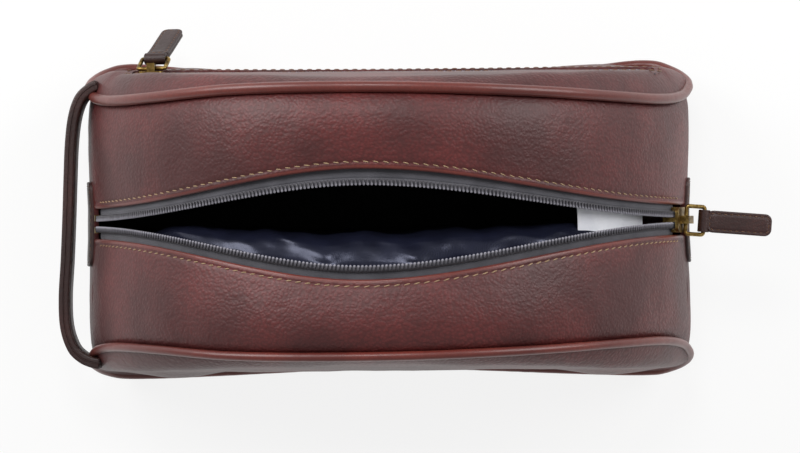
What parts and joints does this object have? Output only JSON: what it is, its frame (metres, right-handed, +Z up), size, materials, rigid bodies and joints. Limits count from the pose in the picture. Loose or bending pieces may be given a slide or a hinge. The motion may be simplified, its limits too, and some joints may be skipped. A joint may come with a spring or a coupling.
{
  "type": "toiletry bag",
  "caption": "Domed leather toiletry bag with an open top zip, piped seams, a rear zip pocket, leather pull tabs and a strap on one end.",
  "frame": {"origin": "middle of the base on the surface that the bag stands on", "axes": "+X along the main zip towards its slider when open, +Y towards the pocket side, +Z up"},
  "size_m": [0.2903, 0.1427, 0.1256],
  "materials": {
    "leather": "pebbled, semi-gloss",
    "piping": "smooth, glazed",
    "trim_leather": "smooth with dark painted edges",
    "brass": "antique",
    "zip_coil": "nylon coil",
    "zip_tape": "woven polyester",
    "lining": "coated nylon",
    "label": "satin ribbon",
    "stiffener": "fibre board"
  },
  "bodies": {
    "shell": {"front_panel": "leather", "rear_panel": "leather", "front_piping": "piping", "rear_piping": "piping", "front_zip_strip": "leather", "rear_zip_strip": "leather", "left_end_panel": "leather", "right_end_panel": "leather", "base_panel": "leather", "left_zip_patch": "trim_leather", "right_zip_patch": "trim_leather", "base_board": "stiffener", "front_lining": "lining", "rear_lining": "lining", "gusset_lining": "lining", "care_label": "label", "zip_bottom_stop": "brass", "zip_top_stops": "brass", "pocket_coil_lower": "zip_coil", "pocket_coil_upper": "zip_coil", "pocket_tape_lower": "zip_tape", "pocket_tape_upper": "zip_tape", "pocket_zip_stops": "brass", "pocket_pouch": "lining", "strap_outer": "trim_leather", "strap_inner": "trim_leather"},
    "rear_row": {"rear_coil": "zip_coil", "rear_tape": "zip_tape"},
    "front_row": {"front_coil": "zip_coil", "front_tape": "zip_tape"},
    "main_slider": {"main_slider": "brass"},
    "main_pull_ring": {"main_pull_ring": "brass"},
    "main_pull_tab": {"main_pull_tab": "trim_leather"},
    "pocket_slider": {"pocket_slider": "brass"},
    "pocket_pull_ring": {"pocket_pull_ring": "brass"},
    "pocket_pull_tab": {"pocket_pull_tab": "trim_leather"}
  },
  "joints": [
    {"name": "main_slider_travel", "type": "hinge", "parent": "shell", "child": "main_slider", "pos_m": [0, 0, -0.006], "axis": [0, -1, 0], "range_deg": [0, 133.06]},
    {"name": "rear_row_closing", "type": "slide", "parent": "shell", "child": "rear_row", "axis": [0, -1, 0], "range_m": [0, 0.01351], "deforming": ["rear_coil", "rear_tape"]},
    {"name": "front_row_closing", "type": "slide", "parent": "shell", "child": "front_row", "axis": [0, 1, 0], "range_m": [0, 0.01621], "deforming": ["front_coil", "front_tape"]},
    {"name": "main_ring_swing", "type": "hinge", "parent": "main_slider", "child": "main_pull_ring", "pos_m": [0.12048, 0, 0.04631], "axis": [0.0785, 0.9969, 0], "range_deg": [-70, 45]},
    {"name": "main_tab_swing", "type": "hinge", "parent": "main_pull_ring", "child": "main_pull_tab", "pos_m": [0.12776, -0.00057, 0.04631], "axis": [0.0785, 0.9969, 0], "range_deg": [-40, 15]},
    {"name": "pocket_slider_travel", "type": "slide", "parent": "shell", "child": "pocket_slider", "axis": [1, 0, 0], "range_m": [0, 0.196]},
    {"name": "pocket_ring_swing", "type": "hinge", "parent": "pocket_slider", "child": "pocket_pull_ring", "pos_m": [-0.096, 0.06286, 0.04807], "axis": [0.9781, 0, 0.2079], "range_deg": [-14, 60]},
    {"name": "pocket_tab_swing", "type": "hinge", "parent": "pocket_pull_ring", "child": "pocket_pull_tab", "pos_m": [-0.09479, 0.06725, 0.04237], "axis": [0.9781, 0, 0.2079], "range_deg": [-8, 60]}
  ],
  "couplings": [
    {"joint": "rear_row_closing", "follows": "main_slider_travel", "m_per_rad": 0.005813},
    {"joint": "front_row_closing", "follows": "main_slider_travel", "m_per_rad": 0.006975}
  ]
}
